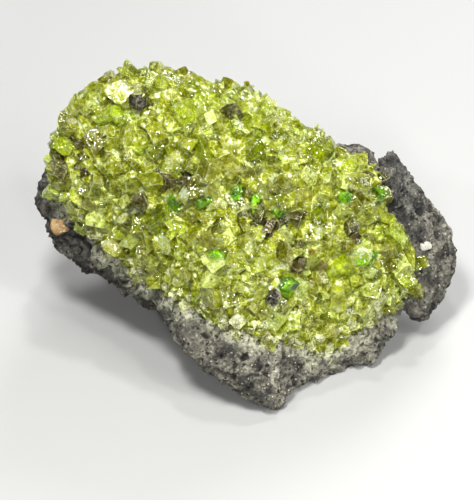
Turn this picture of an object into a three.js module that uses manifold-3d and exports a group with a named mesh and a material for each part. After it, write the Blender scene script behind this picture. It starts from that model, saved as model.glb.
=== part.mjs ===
// A peridot specimen: a nodule of intergrown olivine crystals, broken open, in the basalt that carried it up.
// Units are millimetres. +X is to the right of the broken green face, +Y is away from the viewer and +Z is up.
// The origin lies on the flat underside, below the middle of the specimen.
import * as THREE from "three";
import { ConvexGeometry } from "three/addons/geometries/ConvexGeometry.js";
import { ConvexHull } from "three/addons/math/ConvexHull.js";
import { mergeVertices } from "three/addons/utils/BufferGeometryUtils.js";
import Module from "manifold-3d";

const wasm = await Module();
wasm.setup();

// Driving dimensions. The outlines are drawn square to a line of sight that comes down at SIGHT_RISE degrees:
// u runs right, v runs up the drawing, and w comes out of it. The drawing's zero is the front toe on the table.
const SIGHT_RISE = 35;
const TOE_TO_ORIGIN = 30; // along Y, from the front toe back to the origin
const GAP = 0.45; // between two crystals that touch
const MATRIX_GAP = 0.6; // between the nodule and the basalt round it

// Each body has a rounded section square to its outline. front and back are how far it bulges from its middle sheet,
// which passes through w = rim at the centre and rises by the two slopes of lean along u and v.
const NODULE = {
  outline: [
    [34.2, 28.2], [31.6, 34.2], [27.6, 39.8], [25.6, 46.8], [18.0, 51.4], [9.0, 57.0], [0.0, 62.2], [-9.4, 65.8],
    [-20.5, 67.9], [-30.8, 65.6], [-36.9, 60.6], [-40.2, 52.6], [-41.0, 45.6], [-37.0, 38.4], [-29.0, 30.4],
    [-19.8, 23.0], [-10.2, 17.2], [0.3, 12.0], [10.0, 10.3], [16.0, 8.6], [24.0, 14.2], [31.4, 20.4],
  ],
  centre: [-4, 38],
  rim: -5.2,
  lean: [0, 0.1],
  front: 10,
  back: 12,
  squareness: 2.4,
  rolls: [[19, 1.0], [9, 0.6]], // wavelength and height of each swell of the surface
};

const SHELL = {
  outline: [
    [33.0, 26.0], [31.0, 36.0], [27.5, 45.0], [23.4, 51.2], [18.0, 50.4], [10.0, 52.0], [-4.0, 57.0], [-18.0, 60.0],
    [-31.0, 58.0], [-38.0, 52.0], [-42.1, 45.0], [-41.8, 38.2], [-40.3, 32.6], [-35.6, 28.2], [-27.6, 23.8],
    [-18.3, 18.8], [-14.3, 13.4], [-9.4, 7.3], [-2.3, 2.7], [5.1, 0.1], [10.2, 3.5], [16.8, 4.3], [23.8, 7.0],
    [28.5, 11.7], [31.1, 17.3],
  ],
  centre: [-3, 32],
  rim: -9.8,
  lean: [0, -0.03],
  front: 4,
  back: 30,
  squareness: 2.8,
  rolls: [[17, 1.1], [8, 0.5]],
};

const LOBE = {
  outline: [
    [30.1, 50.6], [27.2, 47.8], [24.0, 42.0], [23.5, 34.0], [27.0, 24.0], [31.6, 19.0], [35.2, 16.3], [38.0, 18.5],
    [40.4, 22.1], [42.4, 26.2], [41.8, 31.8], [39.2, 37.0], [36.2, 41.6], [33.0, 46.6],
  ],
  centre: [33, 33],
  rim: -13,
  lean: [-0.4, -0.1],
  front: 4.5,
  back: 13,
  squareness: 2.6,
  rolls: [[11, 0.7], [6, 0.4]],
};

// The keel that the specimen turns to the viewer: fronts and middle sheets come forward round u, less so further up.
const KEEL = { u: -5, width: 16.5, reach: 21.8, fade: 0.28 };

// Olivine crystals at the nodule's surface, and the outsize ones among them, each [u, v, clear width round it].
const CRYSTAL_COUNT = 560;
const BURIED_COUNT = 40; // places that carry the nodule's skin where basalt covers it
const PEAK_HEIGHT = [0.2, 1.3]; // of a crystal's point over the nodule's skin
const PEAK_SHIFT = 0.8; // greatest share of the way from a crystal's middle to a corner that its point is moved
const VALLEY_DEPTH = 0.5; // of the corners where three crystals meet
const BARE_DEPTH = 1; // a crystal's place may lie this deep in the basalt and still be a bare one
const BURIED_DEPTH = 2; // least depth of a buried one
const LARGE_CRYSTALS = [
  [-9.7, 51.3, 1.6], [-25.5, 56.5, 1.4], [-8.5, 62.3, 1.5], [0.4, 52.0, 1.5], [15.1, 51.8, 1.5], [13.7, 38.9, 1.3],
  [18.4, 26.5, 1.9], [30.6, 27.3, 1.6], [-38.9, 53.0, 1.2],
];

// Basalt lumps, and the gas holes among them.
const SHELL_LUMPS = 420;
const LOBE_LUMPS = 150;
const LUMP_HEIGHT = 0.9;
const HOLE_RADIUS = [0.7, 1.8];
const SHELL_HOLES = 16;
const LOBE_HOLES = 16;
const HOLE_CLEAR = 3; // from a hole's middle to the nodule and to the table
const HOLE_NEIGHBOUR = 2; // and to the other body of basalt
const LONG_HOLE = { at: [31.7, 42.6], radii: [0.8, 2.0, 1.5] }; // the deep slot high on the lobe
const CREVICE = { at: [33.6, 20.2], radii: [3.4, 2.2, 3.0] }; // where the lobe parts from the shell

// Single crystals of other minerals in the green face, each [u, v, half its length].
const CHROME_DIOPSIDE = [
  [-15.5, 39.5, 1.5], [-9.1, 40.4, 1.4], [-2.9, 42.2, 1.9], [1.0, 41.0, 1.5], [6.0, 38.3, 1.3],
  [-6.8, 29.8, 1.5], [6.9, 23.6, 1.6], [19.3, 41.8, 1.5], [26.0, 41.2, 1.4], [24.4, 28.8, 1.5],
];
const PYROXENE = [[-17.2, 44.4, 2.0], [-12.4, 44.6, 2.0], [3.2, 34.0, 1.8], [9.3, 27.9, 1.9], [21.3, 34.2, 1.6]];
const SPINEL = [[-22.2, 60.9, 1.7], [4.6, 21.0, 1.5]];
const TAN_INCLUSION = [-39.8, 35.4, 1.9]; // a matte chip in the shell's left edge
const WHITE_INCLUSION = [36.0, 31.5, 1.3]; // in the lobe
const CRYSTAL_RISE = 0.25; // how far a single crystal's middle stands over the skin, as a share of its half length
const CHIP_RISE = -0.1;
const FACE_AT = [0.6, 0.8]; // where its faces are, as shares of its half length

const PLACES_TRIED = 9000; // points on a body, of which an even spread is kept
const MERGE = 1e-3; // corners closer than this are one
const FLOOR_BLOCK = [400, 60]; // width and depth of the block that takes the underside off flat
const SIN_RISE = Math.sin(THREE.MathUtils.degToRad(SIGHT_RISE));
const COS_RISE = Math.cos(THREE.MathUtils.degToRad(SIGHT_RISE));

// A repeatable number from 0 to 1 for item i, and a different one for each purpose.
function chance(i, purpose) {
  const s = Math.sin(i * 12.9898 + purpose * 78.233) * 43758.5453;
  return s - Math.floor(s);
}

function between([low, high], share) {
  return low + (high - low) * share;
}

// A direction of the drawing in the specimen's own frame, a point of the drawing there, and back.
function turned(u, v, w) {
  return new THREE.Vector3(u, v * SIN_RISE - w * COS_RISE, v * COS_RISE + w * SIN_RISE);
}

function placed(u, v, w) {
  return turned(u, v, w).add(new THREE.Vector3(0, -TOE_TO_ORIGIN, 0));
}

function drawn({ x, y, z }) {
  const behind = y + TOE_TO_ORIGIN;
  return { u: x, v: behind * SIN_RISE + z * COS_RISE, w: z * SIN_RISE - behind * COS_RISE };
}

// A swell of the surface from -1 to 1 that doesn't repeat along any direction.
function roll(p, wavelength) {
  const k = (2 * Math.PI) / wavelength;
  const first = Math.sin(k * (0.8 * p.x + 0.6 * p.y) + 1.3 * Math.sin(0.7 * k * p.z));
  const second = Math.sin(k * (0.7 * p.y - 0.7 * p.z) + 1.7 * Math.sin(0.6 * k * p.x));
  const third = Math.sin(k * (0.9 * p.z + 0.43 * p.x) + 1.1 * Math.sin(0.8 * k * p.y));
  return (first + second + third) / 3;
}

for (const body of [NODULE, SHELL, LOBE]) {
  const corners = body.outline.map(([u, v]) => new THREE.Vector3(u, v, 0));
  body.curve = new THREE.CatmullRomCurve3(corners, true, "catmullrom", 0.5);
}

// The w of a body's skin at [u, v], where its section bulges by a share of its full depth, and the slopes of that.
function skinHeight(body, u, v, bulge) {
  const [leanU, leanV] = body.lean;
  const off = (u - KEEL.u) / KEEL.width;
  const ridge = Math.exp(-(off ** 2)) * (1 + Math.min(0, bulge));
  const reach = KEEL.reach - KEEL.fade * v;
  const flat = body.rim + leanU * (u - body.centre[0]) + leanV * (v - body.centre[1]);
  return {
    w: flat + reach * ridge + bulge * (bulge > 0 ? body.front : body.back),
    slopeU: leanU - (2 * off * reach * ridge) / KEEL.width,
    slopeV: leanV - KEEL.fade * ridge,
  };
}

// The point of a body at a place, raised over its skin. A place is { turn, tilt }: turn runs from 0 to 1 round the
// outline, and tilt from -1 at the back through 0 on the outline to 1 at the front. The section is a superellipse.
function skinPoint(body, { turn, tilt }, raised = 0) {
  const [centreU, centreV] = body.centre;
  const edge = body.curve.getPoint(turn);
  const reach = Math.hypot(edge.x - centreU, edge.y - centreV);
  const depth = tilt > 0 ? body.front : body.back;
  const angle = (tilt * Math.PI) / 2;
  const share = Math.cos(angle) ** (2 / body.squareness);
  const bulge = Math.sign(tilt) * Math.abs(Math.sin(angle)) ** (2 / body.squareness);
  const u = (edge.x - centreU) * share;
  const v = (edge.y - centreV) * share;
  const { w, slopeU, slopeV } = skinHeight(body, centreU + u, centreV + v, bulge);
  const aside = share ** (body.squareness - 2) / reach ** 2;
  const ahead = (Math.sign(bulge) * Math.abs(bulge) ** (body.squareness - 1)) / depth;
  const outward = turned(u * aside - ahead * slopeU, v * aside - ahead * slopeV, ahead).normalize();
  const point = placed(centreU + u, centreV + v, w);
  const swell = body.rolls.reduce((sum, [wavelength, height]) => sum + height * roll(point, wavelength), raised);
  return point.addScaledVector(outward, swell);
}

// How far a body's outline is from its centre in each of 720 directions.
function reaches(body) {
  const rim = Array.from({ length: 2880 }, (_, i) => {
    const { x, y } = body.curve.getPoint(i / 2880);
    return { u: x - body.centre[0], v: y - body.centre[1] };
  });
  const found = [];
  for (const { u, v } of rim) found[directionIndex(u, v)] = Math.hypot(u, v);
  return found;
}

function directionIndex(u, v) {
  return Math.floor(((Math.atan2(v, u) / Math.PI + 1) / 2) * 359.99);
}

// Whether a point is in a body grown by an amount.
function isInside(body, point, grown = 0) {
  const { u, v, w } = drawn(point);
  const du = u - body.centre[0];
  const dv = v - body.centre[1];
  body.reaches ??= reaches(body);
  const share = Math.hypot(du, dv) / (body.reaches[directionIndex(du, dv)] + grown);
  if (share >= 1) return false;
  const bulge = (1 - share ** body.squareness) ** (1 / body.squareness);
  return w < skinHeight(body, u, v, bulge).w + grown && w > skinHeight(body, u, v, -bulge).w - grown;
}

// Places all over a body, in a sequence that fills it evenly.
function placesTried(body) {
  return Array.from({ length: PLACES_TRIED }, (_, i) => {
    const turn = (i * 0.7548776662) % 1;
    const tilt = 1.96 * ((i * 0.5698402909) % 1) - 0.98;
    return { turn, tilt, point: skinPoint(body, { turn, tilt }) };
  });
}

// Keeps count of the places, each as far as it can be from those kept before it and from the taken ones. A taken place
// may have a clear width of its own.
function evenSpread(places, count, taken = []) {
  const room = places.map(({ point }) =>
    taken.reduce((least, t) => Math.min(least, point.distanceTo(t.point) - (t.clear ?? 0)), Infinity),
  );
  const kept = [];
  while (kept.length < count) {
    const chosen = places[room.indexOf(Math.max(...room))];
    kept.push(chosen);
    places.forEach(({ point }, i) => (room[i] = Math.min(room[i], point.distanceTo(chosen.point))));
  }
  return kept;
}

// The front place of a body behind a point [u, v] of the drawing.
function placeBehind(body, places, [u, v]) {
  const miss = ({ tilt, point }) => {
    const at = drawn(point);
    return tilt > 0 ? Math.hypot(at.u - u, at.v - v) : Infinity;
  };
  return places.reduce((best, place) => (miss(place) < miss(best) ? place : best));
}

// Places as points of a ball of radius 1, and back.
function onBall({ turn, tilt }) {
  return new THREE.Vector3().setFromSphericalCoords(1, (Math.PI / 2) * (1 - tilt), 2 * Math.PI * turn);
}

function offBall(p) {
  const { phi, theta } = new THREE.Spherical().setFromVector3(p);
  return { turn: (theta / (2 * Math.PI) + 1) % 1, tilt: 1 - phi / (Math.PI / 2) };
}

// Triangles between scattered places. They start as the faces of the convex hull of the same places on a ball, and an
// edge turns to the other diagonal of its two triangles as long as that makes them less narrow on the body.
function net(places) {
  const points = places.map(onBall);
  const index = new Map(points.map((p, i) => [p, i]));
  const opposite = new Map(); // the third corner of the triangle that has an edge from a to b
  const edge = (a, b) => a * places.length + b;
  const addTriangle = (a, b, c) => opposite.set(edge(a, b), c).set(edge(b, c), a).set(edge(c, a), b);
  for (const face of new ConvexHull().setFromPoints(points).faces)
    addTriangle(...[face.edge, face.edge.next, face.edge.next.next].map((e) => index.get(e.head().point)));
  const angleAt = (c, a, b) => {
    const toA = places[a].point.clone().sub(places[c].point);
    return toA.angleTo(places[b].point.clone().sub(places[c].point));
  };
  for (let turnedEdges = true; turnedEdges; ) {
    turnedEdges = false;
    for (const key of [...opposite.keys()]) {
      const [a, b] = [Math.floor(key / places.length), key % places.length];
      const [c, d] = [opposite.get(key), opposite.get(edge(b, a))];
      if (c === undefined || opposite.has(edge(c, d)) || opposite.has(edge(d, c))) continue;
      if (angleAt(c, a, b) + angleAt(d, a, b) < Math.PI + 1e-3) continue;
      opposite.delete(key);
      opposite.delete(edge(b, a));
      addTriangle(a, d, c);
      addTriangle(b, c, d);
      turnedEdges = true;
    }
  }
  return [...opposite].flatMap(([key, c]) => {
    const [a, b] = [Math.floor(key / places.length), key % places.length];
    if (a > b || a > c) return [];
    return { corners: [a, b, c], middle: offBall(points[a].clone().add(points[b]).add(points[c])) };
  });
}

// A closed skin in which each place is a crystal: flat faces that rise to a point, to one side of its middle, from the
// low corners that it shares with its neighbours.
function crystalCrust(body, crystals, raised = 0) {
  const triangles = net(crystals);
  const after = new Map(); // the triangle on the left of an edge, as a number
  const beside = []; // a triangle at each crystal
  triangles.forEach(({ corners }, t) =>
    corners.forEach((i, k) => {
      after.set(i * crystals.length + corners[(k + 1) % 3], t);
      beside[i] = t;
    }),
  );
  const valleys = triangles.map(({ middle }) => skinPoint(body, middle, raised - VALLEY_DEPTH));
  const peaks = crystals.map((crystal, i) => {
    const shifted = skinPoint(body, triangles[beside[i]].middle, raised + crystal.height);
    return skinPoint(body, crystal, raised + crystal.height).lerp(shifted, crystal.shift);
  });
  const faces = triangles.flatMap(({ corners }, t) =>
    corners.flatMap((i, k) => {
      const next = after.get(i * crystals.length + corners[(k + 2) % 3]);
      return [i, crystals.length + t, crystals.length + next];
    }),
  );
  return new THREE.BufferGeometry().setFromPoints([...peaks, ...valleys]).setIndex(faces);
}

// A closed rough skin with one lump or dent at each place.
function lumpySkin(body, places, lump, raised = 0) {
  const points = places.map((place, i) => skinPoint(body, place, raised + lump * (2 * chance(i, 8) - 1)));
  return new THREE.BufferGeometry().setFromPoints(points).setIndex(net(places).flatMap(({ corners }) => corners));
}

// A loose crystal: four prism faces and eight dome faces, each a little nearer or further out than the last.
function crystalForm(kind) {
  const normals = [1, -1].flatMap((a) =>
    [1, -1].flatMap((b) => [
      new THREE.Vector3(0.73 * a, 0.68 * b, 0),
      new THREE.Vector3(0.12 * a, 0.66 * b, 0.74 * a * b),
      new THREE.Vector3(0.1 * a, 0.3 * b, -0.9 * a * b),
    ]),
  );
  const planes = normals.map((n, i) => new THREE.Plane(n.normalize(), -between(FACE_AT, chance(i, kind + 11))));
  const corners = [];
  for (const [i, p] of planes.entries())
    for (const [j, q] of planes.entries())
      for (const [k, r] of planes.entries()) {
        const corner = i < j && j < k && meeting(p, q, r);
        if (corner && planes.every((plane) => plane.distanceToPoint(corner) < 1e-6)) corners.push(corner);
      }
  return new ConvexGeometry(corners);
}

// The point where three planes meet, or null where they don't.
function meeting(p, q, r) {
  const across = q.normal.clone().cross(r.normal);
  const share = p.normal.dot(across);
  if (Math.abs(share) < 1e-6) return null;
  return across
    .multiplyScalar(-p.constant)
    .addScaledVector(r.normal.clone().cross(p.normal), -q.constant)
    .addScaledVector(p.normal.clone().cross(q.normal), -r.constant)
    .divideScalar(share);
}

function anyTurn(i) {
  return new THREE.Quaternion().setFromEuler(new THREE.Euler(6 * chance(i, 1), 6 * chance(i, 2), 6 * chance(i, 3)));
}

// A loose crystal of half length size about a point, grown all round by an amount.
function crystal(i, point, size, grown = 0) {
  const scale = new THREE.Vector3(1, between([0.75, 1], chance(i, 4)), between([0.8, 1.1], chance(i, 5)));
  scale.multiplyScalar(size).addScalar(grown / FACE_AT[0]);
  return crystalForm(i % 9).applyMatrix4(new THREE.Matrix4().compose(point, anyTurn(i), scale));
}

// A closed geometry as a solid that can be joined and cut, and back.
function solid(geometry) {
  const bare = geometry.index ? geometry.toNonIndexed() : geometry.clone();
  bare.deleteAttribute("normal");
  bare.deleteAttribute("uv");
  const { attributes, index } = mergeVertices(bare, MERGE);
  const vertProperties = new Float32Array(attributes.position.array);
  return new wasm.Manifold(new wasm.Mesh({ numProp: 3, vertProperties, triVerts: new Uint32Array(index.array) }));
}

function geometryOf(made) {
  const { vertProperties, triVerts } = made.getMesh();
  const geometry = new THREE.BufferGeometry();
  geometry.setAttribute("position", new THREE.BufferAttribute(new Float32Array(vertProperties), 3));
  return geometry.setIndex(new THREE.BufferAttribute(new Uint32Array(triVerts), 1)).toNonIndexed();
}

function joined(made) {
  return wasm.Manifold.union(made);
}

// The largest piece of a solid, without the crumbs and bubbles that a cut leaves, also where they touch it at a corner.
function largest(made) {
  const biggest = (pieces) => pieces.reduce((a, b) => (a.volume() > b.volume() ? a : b));
  return biggest(solid(geometryOf(biggest(made.decompose()))).decompose());
}

const finish = (colour, roughness) => new THREE.MeshStandardMaterial({ color: colour, roughness, metalness: 0 });
const peridotFinish = finish(0xa3ad3e, 0.25);
const basaltFinish = finish(0x5c5a54, 0.95);
const nodulePlaces = placesTried(NODULE);
const shellPlaces = placesTried(SHELL);
const lobePlaces = placesTried(LOBE);

// A small crystal or chip set in a body's face: its name, its shape and the grown shape that cuts its pocket.
function inset(name, body, places, [u, v, size], number, material) {
  const place = placeBehind(body, places, [u, v]);
  const at = skinPoint(body, place, size * (body === NODULE ? CRYSTAL_RISE : CHIP_RISE));
  return { name, place, material, shape: crystal(number, at, size), pocket: solid(crystal(number, at, size, GAP)) };
}

function insetRow(name, rows, number, material) {
  return rows.map((row, i) => inset(`${name}_${i + 1}`, NODULE, nodulePlaces, row, number + i, material));
}

const inNodule = [
  ...insetRow("chrome_diopside", CHROME_DIOPSIDE, 700, finish(0x2f8f1c, 0.2)),
  ...insetRow("pyroxene", PYROXENE, 720, finish(0x5a4a22, 0.35)),
  ...insetRow("spinel", SPINEL, 740, finish(0x35343a, 0.3)),
];
const inBasalt = [
  inset("tan_inclusion", SHELL, shellPlaces, TAN_INCLUSION, 750, finish(0xc79a62, 0.9)),
  inset("white_inclusion", LOBE, lobePlaces, WHITE_INCLUSION, 751, finish(0xc9c6bb, 0.7)),
];

// Where each crystal of the nodule's surface is, and how high its point is.
function nodulePlan() {
  const isBare = ({ point }) => !isInside(SHELL, point, -BARE_DEPTH) && !isInside(LOBE, point, -BARE_DEPTH);
  const bare = nodulePlaces.filter(isBare);
  const buried = nodulePlaces.filter(({ point }) => isInside(SHELL, point, -BURIED_DEPTH));
  const large = LARGE_CRYSTALS.map(([u, v, clear]) => ({ ...placeBehind(NODULE, nodulePlaces, [u, v]), clear }));
  const taken = [...large, ...inNodule.map(({ place }) => place)];
  const spread = evenSpread(bare, CRYSTAL_COUNT, taken);
  return [...taken, ...spread, ...evenSpread(buried, BURIED_COUNT, spread)].map((place, i) => {
    const underInset = i >= large.length && i < taken.length;
    const height = underInset ? -VALLEY_DEPTH : between(PEAK_HEIGHT, chance(i, 14));
    return { ...place, height, shift: underInset ? 0 : PEAK_SHIFT * chance(i, 15) };
  });
}

// A gas hole in a body, as a solid to cut away.
function hole(point, radii, number) {
  const shape = new THREE.IcosahedronGeometry(1).scale(...radii);
  if (number) shape.applyQuaternion(anyTurn(number));
  return solid(shape.translate(...point));
}

function gasHoles(places, neighbour, count, first) {
  const isOpen = ({ point }) => !isInside(NODULE, point, HOLE_CLEAR) && !isInside(neighbour, point, HOLE_NEIGHBOUR);
  const seen = places.filter((place) => place.point.z > HOLE_CLEAR && isOpen(place));
  return evenSpread(seen, count, [seen[0]]).map(({ point }, i) => {
    const radius = between(HOLE_RADIUS, chance(first + i, 7) ** 2);
    return hole(point, [radius, radius, 0.8 * radius], first + i);
  });
}

function basaltMatrix(plan) {
  const shellAt = evenSpread(shellPlaces, SHELL_LUMPS, [shellPlaces[0]]);
  const lobeAt = evenSpread(lobePlaces, LOBE_LUMPS, [lobePlaces[0]]);
  const rock = joined([
    solid(lumpySkin(SHELL, shellAt, LUMP_HEIGHT)),
    solid(lumpySkin(LOBE, lobeAt, LUMP_HEIGHT)),
  ]);
  const [width, depth] = FLOOR_BLOCK;
  return largest(
    rock.subtract(
      joined([
        solid(crystalCrust(NODULE, plan, MATRIX_GAP)),
        ...gasHoles(shellPlaces, LOBE, SHELL_HOLES, 500),
        ...gasHoles(lobePlaces, SHELL, LOBE_HOLES, 600),
        hole(placeBehind(LOBE, lobePlaces, LONG_HOLE.at).point, LONG_HOLE.radii),
        hole(placeBehind(LOBE, lobePlaces, CREVICE.at).point, CREVICE.radii),
        ...inBasalt.map(({ pocket }) => pocket),
        solid(new THREE.BoxGeometry(width, width, depth).translate(0, 0, -depth / 2)),
      ]),
    ),
  );
}

function peridotMass(plan) {
  const pockets = [...inNodule, ...inBasalt].map(({ pocket }) => pocket);
  return largest(solid(crystalCrust(NODULE, plan)).subtract(joined(pockets)));
}

const specimen = new THREE.Group();
specimen.name = "peridot_specimen";

function put(name, geometry, material) {
  const mesh = new THREE.Mesh(geometry, material);
  mesh.name = name;
  specimen.add(mesh);
}

const plan = nodulePlan();
put("peridot_mass", geometryOf(peridotMass(plan)), peridotFinish);
put("basalt_matrix", geometryOf(basaltMatrix(plan)), basaltFinish);
for (const { name, shape, material } of [...inNodule, ...inBasalt]) put(name, shape, material);

export default specimen;
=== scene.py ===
"""A peridot specimen: a nodule of glassy olivine grains in dark, pitted basalt, on a pale studio floor."""

import math
from typing import NamedTuple

import bpy
import numpy as np
from bpy.props import FloatProperty, FloatVectorProperty, IntProperty, PointerProperty
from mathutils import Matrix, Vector


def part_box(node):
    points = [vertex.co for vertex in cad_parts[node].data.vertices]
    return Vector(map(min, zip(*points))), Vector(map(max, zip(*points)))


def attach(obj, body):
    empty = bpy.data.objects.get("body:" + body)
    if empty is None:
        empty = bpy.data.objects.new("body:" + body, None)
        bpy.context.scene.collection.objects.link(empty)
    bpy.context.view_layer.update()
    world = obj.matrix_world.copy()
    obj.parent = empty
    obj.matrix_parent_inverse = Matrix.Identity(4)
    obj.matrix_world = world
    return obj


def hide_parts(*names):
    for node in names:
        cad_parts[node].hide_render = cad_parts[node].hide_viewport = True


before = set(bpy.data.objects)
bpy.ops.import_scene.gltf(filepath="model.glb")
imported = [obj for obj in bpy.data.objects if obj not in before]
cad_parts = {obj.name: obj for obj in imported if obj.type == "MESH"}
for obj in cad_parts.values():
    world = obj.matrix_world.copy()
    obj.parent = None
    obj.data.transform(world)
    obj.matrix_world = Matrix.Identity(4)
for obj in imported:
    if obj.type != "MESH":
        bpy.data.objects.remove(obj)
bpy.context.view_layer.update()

bl_info = {
    "name": "Peridot specimen",
    "version": (1, 0, 0),
    "blender": (4, 5, 0),
    "location": "3D View > Sidebar > Specimen",
    "description": "Dresses the solids of a peridot specimen with olivine grains and pitted basalt",
    "category": "Add Mesh",
}

MM = 0.001

# The drawing of the broken face is square to a line of sight that comes down at this angle. In the drawing u runs
# right, v up and w towards the viewer, in millimetres, from the front toe on the table.
SIGHT_RISE = math.radians(35)
TOE_TO_ORIGIN = 30  # along Y, from the front toe back to the origin
SIGHT_BACK = Vector((0, -math.cos(SIGHT_RISE), math.sin(SIGHT_RISE)))  # towards the viewer

# Outsize clear crystals, each [u, v, radius].
LARGE_CRYSTALS = [
    [-9.7, 51.3, 3.0], [-25.5, 56.5, 2.6], [-8.5, 62.3, 2.8], [0.4, 52.0, 2.7], [15.1, 51.8, 2.8], [13.7, 38.9, 2.5],
    [18.4, 26.5, 3.4], [-38.9, 53.0, 2.3], [-19.6, 37.3, 2.6], [7.4, 24.5, 2.3],
]

# Where grains are brown, amber, silvery, clear, olive or milky, each [u, v, radius].
DARK_PATCHES = [
    [0.0, 37.0, 2.6], [8.1, 37.6, 2.8], [10.6, 32.5, 2.0], [-3.7, 59.0, 1.8], [-21.5, 60.9, 1.6], [-23.0, 40.8, 1.8],
    [-35.6, 50.0, 3.2], [21.3, 34.6, 2.0], [-14.9, 44.3, 2.6], [24.0, 45.0, 2.0],
]
AMBER_PATCHES = [[14.9, 28.6, 1.8], [11.0, 19.0, 1.4]]
SILVER_PATCHES = [[-31.9, 60.9, 3.2], [4.0, 34.0, 1.6], [23.5, 43.0, 2.4], [8.0, 20.5, 2.0]]
CLEAR_PATCHES = [
    [-10, 57, 8], [-25, 57, 4], [5, 54, 7], [17, 51, 5], [14, 40, 4], [20, 26, 5], [-19, 37, 5], [-14, 50, 5],
]
OLIVE_PATCHES = [[-13, 42, 4.5], [2, 43, 6], [-4, 33, 4], [-35.5, 50, 5], [22, 36, 3], [25, 44, 3]]
MILKY_PATCHES = [
    [30, 27.3, 5.5], [0, 55.5, 3], [-28, 39.5, 3], [11, 35, 4], [15, 15, 4], [11, 22, 4], [17, 48, 3], [-12.5, 26.5, 4],
]

# Gas holes of the lobe that stand out, each [u, v, radius].
LOBE_HOLES = [[35.4, 38.5, 1.0], [33.9, 37.3, 0.7], [31.7, 39.1, 0.8], [29.4, 40.6, 0.7], [32.7, 31.9, 0.8]]

# The nodule's lower edge in the drawing: its height at u = 0, and its fall for each millimetre to the right. Grains
# below it and this near the basalt are crushed and frosted.
EDGE_HEIGHT = 33
EDGE_FALL = 0.55
BASALT_REACH = 4.8 * MM

# How grains are packed. Sizes are shares of the largest grain, and the others are in radii.
GRAIN_SIZES = (1.0, 0.68, 0.42)
LARGE_SCALE = 1.25  # of the outsize crystals over the radii above, because their corners are cut off
LARGE_SUNK = 0.4  # how deep the outsize crystals sit
SPACING = 1.25  # between grains of one size
FILLING = 0.85  # between a grain and the smaller ones that fill the gaps beside it
SEAT = 0.62  # how far out on a grain a chip sits
BLOCKY = 0.6  # the share of blocks among the glassy grains, where the rest are prisms
INSET_ROOM = 1.7 * MM  # kept free of grains round a crystal of another mineral
INSET_CHIP_ROOM = 1.4 * MM  # and of chips
PAIR_SIZES = (1.3, 0.95)  # of the two crystals at each solid of another mineral, over the solid's radius

WELD = 1e-6  # corners of a solid that are within this of each other are one

# Noise that roughens the rock: wavelengths in millimetres, and shares of the lump height.
ROCK_NOISE = ((7.5, 1.3), (3.4, 1.1), (1.7, 1.0), (0.9, 0.75))

# How light the darkest and the lightest face of a grain are, as shares of its tint.
FACET_SHARES = (0.42, 1.32)

# The sockets of a Mix node for colours: its factor and two colours, and its result.
MIX_INPUTS, MIX_OUTPUT = (0, 6, 7), 2

AIM = (-2.7, 30.6, 5)  # the middle of the picture, [u, v, w]

# The studio's lamps: where they stand and how wide they are, in metres, and their power in watts.
LAMPS = (
    ("Key", (-0.08, -0.24, 0.52), 0.1, 3.7),
    ("Fill", (0.42, -0.4, 0.34), 0.26, 3.0),
    ("Back", (0.15, 0.45, 0.35), 0.25, 2.4),
    ("Glint left", (-0.2, -0.42, 0.42), 0.045, 0.9),
    ("Glint right", (0.22, -0.3, 0.5), 0.045, 0.9),
    ("Glint high", (0.02, 0.1, 0.6), 0.045, 0.9),
    ("Glint front", (0.05, -0.55, 0.3), 0.045, 0.9),
)

# Where the corners of a face with so many corners lie on a square from -1 to 1, whose border stands for its edges.
RIM_PLACES = {
    3: [[-1, -1], [1, -1], [0, 1]],
    4: [[-1, -1], [1, -1], [1, 1], [-1, 1]],
    8: [[1, 0.5], [0.5, 1], [-0.5, 1], [-1, 0.5], [-1, -0.5], [-0.5, -1], [0.5, -1], [1, -0.5]],
}


class Finish(NamedTuple):
    """How a kind of crystal looks. Depth is the power with which blue goes as the colour deepens, crack_size is the
    width of the cells between cracks in millimetres, and the five after it are strengths."""

    depth: float
    crack_size: float
    cracks: float
    # edges: the strength of a painted highlight along the borders of faces
    edges: float
    glitter: float
    specular: float
    transmission: float
    index: float = 1.47  # olivine has 1.67, and the lower one offsets what its faces reflect of a pale studio


CORE = Finish(4.0, 1.6, 0.6, 0.0, 0.35, 0.2, 0.0)
GRAIN = Finish(4.0, 1.3, 0.6, 0.9, 0.3, 0.3, 0.75)
CLEAR = Finish(4.0, 2.2, 0.3, 0.8, 0.28, 0.3, 0.85)
FROSTED = Finish(2.0, 1.0, 0.8, 1.0, 0.4, 0.4, 0.6)
CRUSHED = Finish(1.2, 1.0, 0.8, 1.0, 0.4, 0.4, 0.25)
MINERAL = Finish(2.5, 1.1, 0.5, 0.6, 0.3, 0.3, 0.6, 1.69)


class Grains(NamedTuple):
    """Many grains: their centres, the ways that they face and their radii, in a row for each."""

    centres: np.ndarray
    ways: np.ndarray
    radii: np.ndarray

    def some(self, rows):
        """The grains of the given rows."""
        return Grains(*(part[rows] for part in self))

    def raised(self, share):
        """The grains moved the way that they face by a share of their radii."""
        return self._replace(centres=self.centres + (share * self.radii)[:, None] * self.ways)


def placed(u, v, w):
    """A point of the drawing in the specimen's frame, in metres."""
    rise = v * math.cos(SIGHT_RISE) + w * math.sin(SIGHT_RISE)
    back = v * math.sin(SIGHT_RISE) - w * math.cos(SIGHT_RISE) - TOE_TO_ORIGIN
    return Vector((u, back, rise)) * MM


def drawn(points):
    """The u, v and w, in millimetres, of an array of points in metres."""
    x, y, z = (np.asarray(points) / MM).T
    y = y + TOE_TO_ORIGIN
    sine, cosine = math.sin(SIGHT_RISE), math.cos(SIGHT_RISE)
    return np.column_stack([x, y * sine + z * cosine, z * sine - y * cosine])


def to_viewer(ways):
    """How far each direction points to the viewer, from -1 to 1."""
    return ways @ np.array(SIGHT_BACK)


def read(items, name, kind=np.float32):
    """Three numbers for each of a mesh's items, in a row for each."""
    values = np.empty(len(items) * 3, kind)
    items.foreach_get(name, values)
    return values.reshape(-1, 3)


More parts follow.
